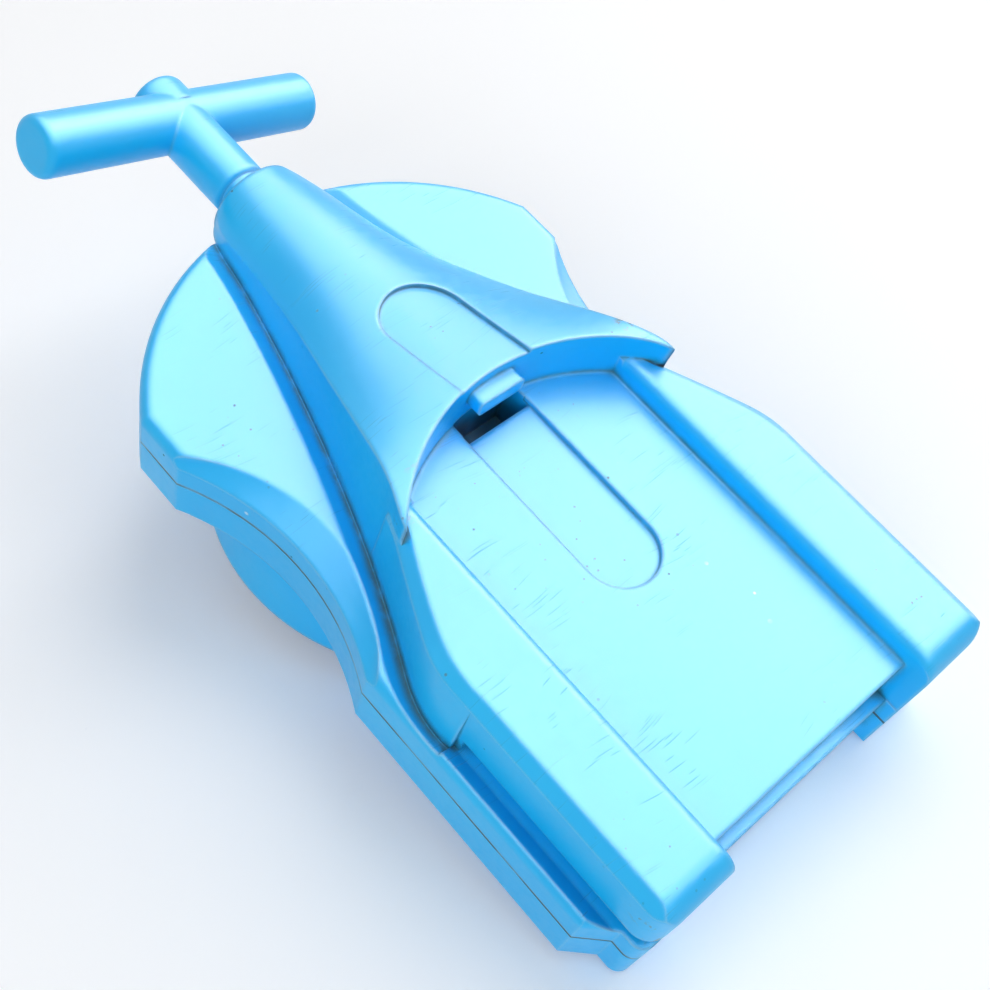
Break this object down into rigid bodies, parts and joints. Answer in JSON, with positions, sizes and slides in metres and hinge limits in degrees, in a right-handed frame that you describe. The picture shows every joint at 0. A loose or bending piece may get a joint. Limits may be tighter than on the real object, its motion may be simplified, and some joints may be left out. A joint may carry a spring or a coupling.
{
  "type": "spinning top launcher",
  "caption": "Ripcord launcher for spinning tops: two-part shell with finger scoops, round collar, hooked launch fork, hooded spine with grip rails, string reel and T handle",
  "frame": {"origin": "centre of the launch collar's lower rim, on the axis that the top spins about", "axes": "+Y from the grip rails towards the pull handle, +Z from the collar up to the casing's top face, +X to the right seen from above with the handle away"},
  "size_m": [0.0654, 0.1292, 0.0393],
  "materials": {
    "casing_blue": "light blue moulded plastic, glossy, with scuffs and scratches",
    "handle_blue": "light blue moulded plastic, glossy, softened edges",
    "inner_plastic": "natural white moulded plastic",
    "dark_plastic": "black moulded plastic",
    "string_fibre": "braided white cord",
    "spring_steel": "blued strip steel",
    "screw_steel": "zinc plated steel"
  },
  "bodies": {
    "root": {"upper_casing": "casing_blue", "lower_casing": "casing_blue", "launch_collar": "casing_blue", "grip_rail": "casing_blue", "neck_bush": "inner_plastic", "pull_string": "string_fibre", "spring_arbor": "inner_plastic", "axle": "screw_steel", "casing_screws": "screw_steel", "rail_screws": "screw_steel", "collar_screws": "screw_steel", "hub_washer": "screw_steel", "hub_screw": "screw_steel"},
    "reel": {"string_spool": "inner_plastic", "spring_cup": "inner_plastic", "string_winding": "string_fibre", "mainspring": "spring_steel"},
    "pawl_left": {"drive_pawl_left": "dark_plastic"},
    "pawl_right": {"drive_pawl_right": "dark_plastic"},
    "hub": {"ratchet_ring": "dark_plastic", "launch_fork": "dark_plastic"},
    "string_end": {"string_knot": "screw_steel"},
    "handle": {"pull_handle": "handle_blue", "handle_cap": "handle_blue"}
  },
  "joints": [
    {"name": "handle_pull", "type": "slide", "parent": "root", "child": "string_end", "axis": [0, 1, 0], "range_m": [0, 0.5], "stiffness_N_per_m": 8, "springref_m": -0.2},
    {"name": "handle_twist", "type": "hinge", "parent": "string_end", "child": "handle", "pos_m": [0, 0.05225, 0.0205], "axis": [0, 1, 0], "continuous": true},
    {"name": "reel_spin", "type": "hinge", "parent": "root", "child": "reel", "pos_m": [0, 0, 0.0158], "axis": [0, 0, 1], "range_deg": [0, 1820]},
    {"name": "hub_spin", "type": "hinge", "parent": "root", "child": "hub", "pos_m": [0, 0, 0.0109], "axis": [0, 0, 1], "range_deg": [0, 1820]},
    {"name": "pawl_right_lift", "type": "hinge", "parent": "reel", "child": "pawl_right", "pos_m": [0.0086, 0, 0.0125], "axis": [0, 0, 1], "range_deg": [0, 12]},
    {"name": "pawl_left_lift", "type": "hinge", "parent": "reel", "child": "pawl_left", "pos_m": [-0.0086, 0, 0.0125], "axis": [0, 0, 1], "range_deg": [0, 12]}
  ],
  "couplings": [
    {"joint": "reel_spin", "follows": "handle_pull", "rad_per_m": 63.492},
    {"joint": "hub_spin", "follows": "handle_pull", "rad_per_m": 63.492}
  ]
}
